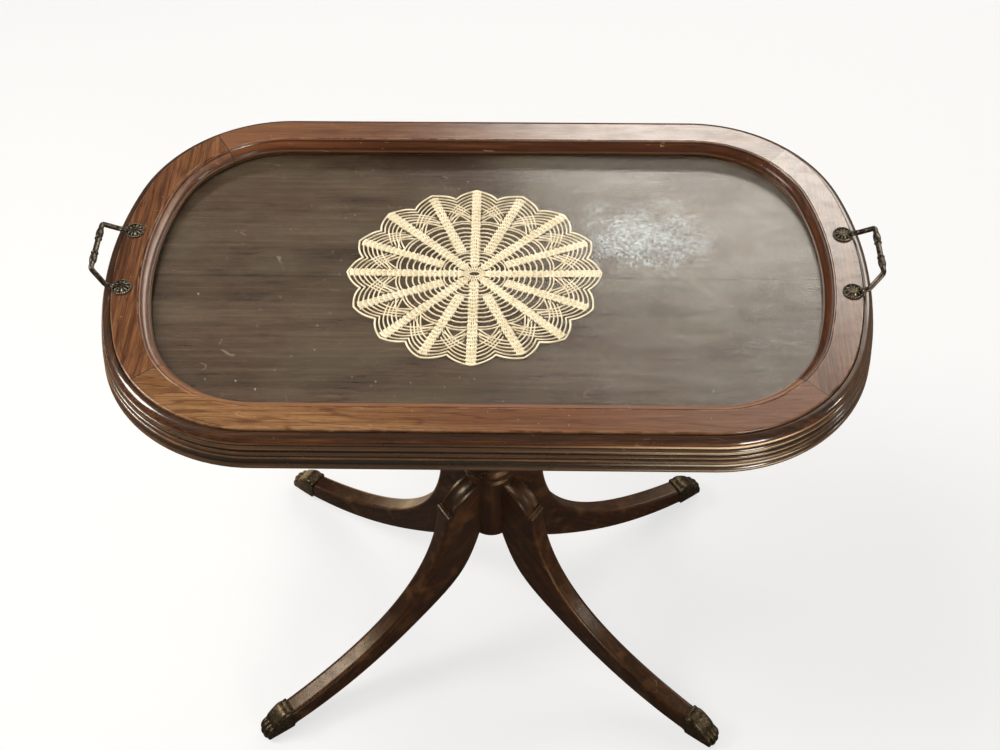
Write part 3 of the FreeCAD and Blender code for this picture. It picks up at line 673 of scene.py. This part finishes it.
# the left handle stands 2 mm behind the middle of its end, the right one 4 mm
rosette = dict(
    x=368.4 * mm, y=40.0 * mm, middle=3.0 * mm, lean=1.0 * mm, petals=10, beads=26, beadShare=1.4,
    petalRing=(6.0 * mm, 1.6 * mm, 0.8 * mm), beadRing=(9.5 * mm, 0.3 * mm, 0.6 * mm), depth=0.6 * mm,
    high=("cfc3ab", 0.75), highReach=(0.1, 0.9), deep=("15110c", 0.7), deepReach=(-0.2, -0.9),
)
cast = dict(
    cloud=dict(scale=260.0, detail=5.0, rough=0.65), pits=dict(scale=900.0, rough=0.6), tone=(0.36, 0.64),
    rubbed=dict(scale=130.0, limits=(0.52, 0.66)), rubbedTone="8f8168", gloss=(0.3, 0.7),
    depth=0.22 * mm, metal=0.85,
)
brasses = {
    "antique handle brass": dict(dark="2e2822", bright="7d7366", rubbed=0.5, rough=(0.17, 0.41)),
    "dull paw brass": dict(dark="382e22", bright="6b5c45", rubbed=0.3, rough=(0.30, 0.54)),
    "old screw brass": dict(dark="4a3c25", bright="86704a", rubbed=0.4, rough=(0.26, 0.50)),
}


def petals(paint, place):
    # cast petals and a beaded rim round each screw of the handles
    x, y = paint.axis(place, 0), paint.axis(place, 1)
    middle = paint.maths("SIGN", x) * rosette["lean"] + rosette["middle"]
    x = paint.maths("ABSOLUTE", x) - rosette["x"]
    y = paint.maths("ABSOLUTE", y - middle) - rosette["y"]
    out = paint.maths("SQRT", x * x + y * y)
    angle = paint.maths("ARCTAN2", y, x)
    leaf = paint.maths("COSINE", angle * rosette["petals"]) * paint.stripe(out, *rosette["petalRing"])
    bead = paint.maths("COSINE", angle * rosette["beads"]) * 0.5 + 0.5
    return leaf + bead * paint.stripe(out, *rosette["beadRing"]) * rosette["beadShare"]


def castBrass(name, petalled=False):
    look = brasses[name]
    paint = Paint(name)
    place = paint.point()
    cloud, pits = paint.noise(place, **cast["cloud"]), paint.noise(place, **cast["pits"])
    tone = paint.span(cloud * 0.7 + pits * 0.3, *cast["tone"])
    colour = paint.mix(tone, shade(look["dark"]), shade(look["bright"]))
    colour = paint.over(colour, (cast["rubbedTone"], look["rubbed"]), paint.clouds(place, **cast["rubbed"]))
    normal = paint.bump(cloud * 0.6 + pits * 0.5, cast["depth"])
    if petalled:
        relief = petals(paint, place)
        colour = paint.over(colour, rosette["high"], paint.span(relief, *rosette["highReach"]))
        colour = paint.over(colour, rosette["deep"], paint.span(relief, *rosette["deepReach"]))
        normal = paint.bump(relief, rosette["depth"], normal)
    return paint.finish(paint.principled(
        Base_Color=colour, Roughness=paint.span(pits, *cast["gloss"], *look["rough"]), Normal=normal,
        Metallic=cast["metal"]))


handleBrass = castBrass("antique handle brass", petalled=True)
pawBrass = castBrass("dull paw brass")
screwBrass = castBrass("old screw brass")
for name, node in nodes.items():
    if name in ("handle_screws", "cleat_screws", "paw_cap_pins"):
        wear(node, screwBrass)
    elif name.startswith("handle_"):
        wear(node, handleBrass)
    elif name.startswith("paw_cap"):
        wear(node, pawBrass)


glass = dict(
    tone=(0.985, 0.985, 0.975), rough=0.02, ior=1.35, quietIor=1.12, passing=(0.95, 0.95, 0.94),
    streaks=dict(scale=(12, 110, 110), limits=(0.38, 0.62), ends=(1.0, 0.87), detail=5.0, rough=0.7,
                 bend=0.3),
    clouds=dict(scale=26.0, limits=(0.36, 0.64), ends=(1.0, 0.87), detail=5.0, rough=0.65, bend=0.3),
    shade=0.92,
)


def clearGlass():
    paint = Paint("clear glass")
    bright, quiet = [paint.principled(
        Base_Color=glass["tone"], Roughness=glass["rough"], IOR=glass[ior], Transmission_Weight=1.0)
        for ior in ("ior", "quietIor")]
    # old smears dull the glass in long streaks and small clouds
    place = paint.point()
    lit = paint.clouds(place, **glass["streaks"]) * paint.clouds(place, **glass["clouds"])
    lit = lit * (1.0 - frameShade(paint, place) * glass["shade"])
    passing = paint.node("ShaderNodeBsdfTransparent", None, {"Color": glass["passing"]})
    pane = paint.blended(lit, quiet, bright)
    return paint.finish(paint.blended(ray(paint, "Is Shadow Ray"), pane, passing))


wear(nodes["glass_pane"], clearGlass())
print("metal and glass finished")


# the crocheted mat; shares run from 0 in its middle to 1 at the tips
lace = dict(
    ribs=16, thread=0.82 * mm, border=1.05 * mm, post=0.84 * mm, gap=0.02 * mm,
    hole=(6.0 * mm, 3.4 * mm), middle=0.088, middlePosts=(18, 26), valley=0.905,
    ribStarts=(0.085, 0.262), ribEnd=0.955, ribHalf=0.031, round=0.041, roundVary=0.002,
    lean=0.1, postRise=0.15 * mm, knotRise=0.52 * mm,
    innerLoops=(0.125, 0.160, 0.198, 0.240), innerBulge=0.010, ring=0.272,
    loops=(0.305, 0.345, 0.388, 0.434, 0.482, 0.532, 0.588, 0.614), bulge=0.012, wave=0.15 * mm,
    gather=0.655, gatherKnot=0.724, gatherRise=0.02,
    chains=6, chainStep=0.039, chainPast=0.62, chainWave=0.2 * mm, weld=0.000001, seed=11,
)


def makeLace():
    dice = random.Random(lace["seed"])
    low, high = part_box("doily")
    middle, half = (low + high) / 2, (high - low) / 2
    level = low.z + lace["post"] + lace["gap"]
    centre = Vector((middle.x, middle.y, level))
    step = 2 * math.pi / lace["ribs"]
    threads, posts, borders = [], [], []

    def at(share, angle, lift=0.0):
        # handmade: the rounds wander a little
        drift = 0.010 * math.sin(3 * angle + 0.7) + 0.007 * math.sin(7 * angle + 2.1) * share
        turn = angle + 0.012 * math.sin(5 * angle + 1.3) * share
        reach = share * (1 + drift * min(1.0, (1 - share) * 3))
        return Vector((middle.x + reach * half.x * math.cos(turn),
                       middle.y + reach * half.y * math.sin(turn), level + lift))

    def inMiddle(angle, part):
        # 0 on the oval hole, 1 on the rim of the solid middle
        hole = Vector((lace["hole"][0] * math.cos(angle), lace["hole"][1] * math.sin(angle), 0))
        return centre + hole.lerp(at(lace["middle"], angle) - centre, part)

    def onBorder(part):
        # outer edge over half a scallop: 0 at the notch, 1 at the rib
        rise = 0.62 * part + 0.38 * (1 - (1 - part) ** 3)
        return lace["valley"] + (1 - lace["valley"]) * rise

    def ribHalfAngle(share):
        return lace["ribHalf"] / max(share, 0.12)

    def loop(share, start, end, bulge, count=8):
        edge = ribHalfAngle(share) * 0.8
        start, end = start + edge, end - edge
        parts = [index / count for index in range(count + 1)]
        threads.append([at(share + bulge * math.sin(math.pi * part), start + (end - start) * part,
                           lace["wave"] * math.sin(9 * math.pi * part)) for part in parts])

    # solid middle with its oval hole, two rounds of posts
    for number, count in enumerate(lace["middlePosts"]):
        inner, outer = number / 2, (number + 1) / 2
        for index in range(count):
            angle = 2 * math.pi * (index + 0.5 * number) / count
            posts.append([inMiddle(angle, inner), inMiddle(angle, outer)])
        threads.append([inMiddle(2 * math.pi * index / 48, inner) for index in range(49)])

    # ribs of posts, worked round by round; every other rib starts at the middle
    for rib in range(lace["ribs"]):
        angle = rib * step
        share = lace["ribStarts"][rib % 2]
        while share < lace["ribEnd"]:
            deep = lace["round"] + dice.uniform(-lace["roundVary"], lace["roundVary"])
            reach = ribHalfAngle(share + deep / 2)
            for side in (-1.0, -0.5, 0.0, 0.5, 1.0):
                foot = angle + side * reach * 0.8 + dice.uniform(-lace["lean"], lace["lean"]) * reach
                top = angle + side * reach * 1.15 + dice.uniform(-lace["lean"], lace["lean"]) * reach
                posts.append([at(share, foot), at(share + deep * 0.5, (foot + top) / 2, lace["postRise"]),
                              at(share + deep, top)])
            # each round closes in a raised row of knots that lean towards the tip
            posts.append([
                at(share + deep * (1.0 - 0.16 * abs(k)), angle + reach * k / 1.7, lace["knotRise"])
                for k in range(-2, 3)])
            share += deep

    # loops between the ribs: eight wide spaces inside, sixteen outside
    for rib in range(0, lace["ribs"], 2):
        for share in lace["innerLoops"]:
            loop(share, rib * step, (rib + 2) * step, lace["innerBulge"])
    threads.append([at(lace["ring"], 2 * math.pi * k / 96) for k in range(97)])
    for rib in range(lace["ribs"]):
        first, second = rib * step, (rib + 1) * step
        for share in lace["loops"]:
            loop(share, first, second, lace["bulge"])
        # the last loop is drawn together in a knot under the notch
        knot, share = (first + second) / 2, lace["gather"]
        edge = ribHalfAngle(share) * 0.7
        threads.append([
            at(share, first + edge), at(share + lace["gatherRise"], (first * 2 + knot) / 3),
            at(lace["gatherKnot"], knot),
            at(share + lace["gatherRise"], (second * 2 + knot) / 3), at(share, second - edge)])

    # chains that follow the scallops; all but the outer two cross each other under the notch
    for rib in range(lace["ribs"]):
        for side in (-1, 1):
            for chain in range(lace["chains"]):
                past = 0.0 if chain < 2 else lace["chainPast"]
                line = []
                for index in range(13):
                    part = 1.0 - (1.0 + past) * index / 12
                    angle = rib * step + side * (1 - part) * step / 2
                    share = onBorder(part) if part >= 0 else lace["valley"] + 0.15 * part
                    wave = lace["chainWave"] * math.sin(7 * part + chain)
                    line.append(at(share - chain * lace["chainStep"], angle, wave))
                (borders if chain == 0 else threads).append(line)

    made = []
    for kind, lines in (("thread", threads), ("post", posts), ("border", borders)):
        name = kind + "s"
        data = bpy.data.curves.new(name, "CURVE")
        data.dimensions = "3D"
        data.bevel_depth = lace[kind]
        data.bevel_resolution = 1
        data.use_fill_caps = True
        for line in lines:
            spline = data.splines.new("POLY")
            spline.points.add(len(line) - 1)
            for point, place in zip(spline.points, line):
                point.co = (*place, 1.0)
        piece = bpy.data.objects.new(name, data)
        bpy.context.scene.collection.objects.link(piece)
        made.append(piece)
    clearSelection()
    for piece in made:
        piece.select_set(True)
    bpy.context.view_layer.objects.active = made[0]
    bpy.ops.object.convert(target="MESH")
    bpy.ops.object.join()
    bpy.ops.object.mode_set(mode="EDIT")
    bpy.ops.mesh.select_all(action="SELECT")
    bpy.ops.mesh.remove_doubles(threshold=lace["weld"])
    bpy.ops.object.mode_set(mode="OBJECT")
    bpy.ops.object.shade_smooth()
    bpy.context.object.name = "crochetMat"
    return bpy.context.object


cottonLook = dict(
    dark=(0.30, "cfc19f"), bright=(0.65, "ebe2ca"), patches=45.0, patchShare=0.6,
    twist=dict(scale=1100.0, rough=0.6), twistShare=0.4, twistDepth=0.35 * mm,
    threadShade=("8a7350", 0.65), threadShadeReach=(rimTop - 14.0 * mm, rimTop - 15.0 * mm), rough=0.85, sheen=0.3,
)


def cotton():
    paint = Paint("ecru crochet cotton")
    place = paint.point()
    twist = paint.noise(place, **cottonLook["twist"])
    patches = paint.noise(place, cottonLook["patches"])
    tone = patches * cottonLook["patchShare"] + twist * cottonLook["twistShare"]
    stops = [(where, shade(code)) for where, code in (cottonLook["dark"], cottonLook["bright"])]
    # painted shade, darker between the threads
    low = paint.span(paint.axis(place, 2), *cottonLook["threadShadeReach"])
    colour = paint.over(paint.ramp(tone, *stops), cottonLook["threadShade"], low)
    return paint.finish(paint.principled(
        Base_Color=colour, Roughness=cottonLook["rough"], Normal=paint.bump(twist, cottonLook["twistDepth"]),
        Sheen_Weight=cottonLook["sheen"]))


mat = makeLace()
wear(mat, cotton())
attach(mat, "table")
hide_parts("doily")
print("mat crocheted,", len(mat.data.polygons), "faces")
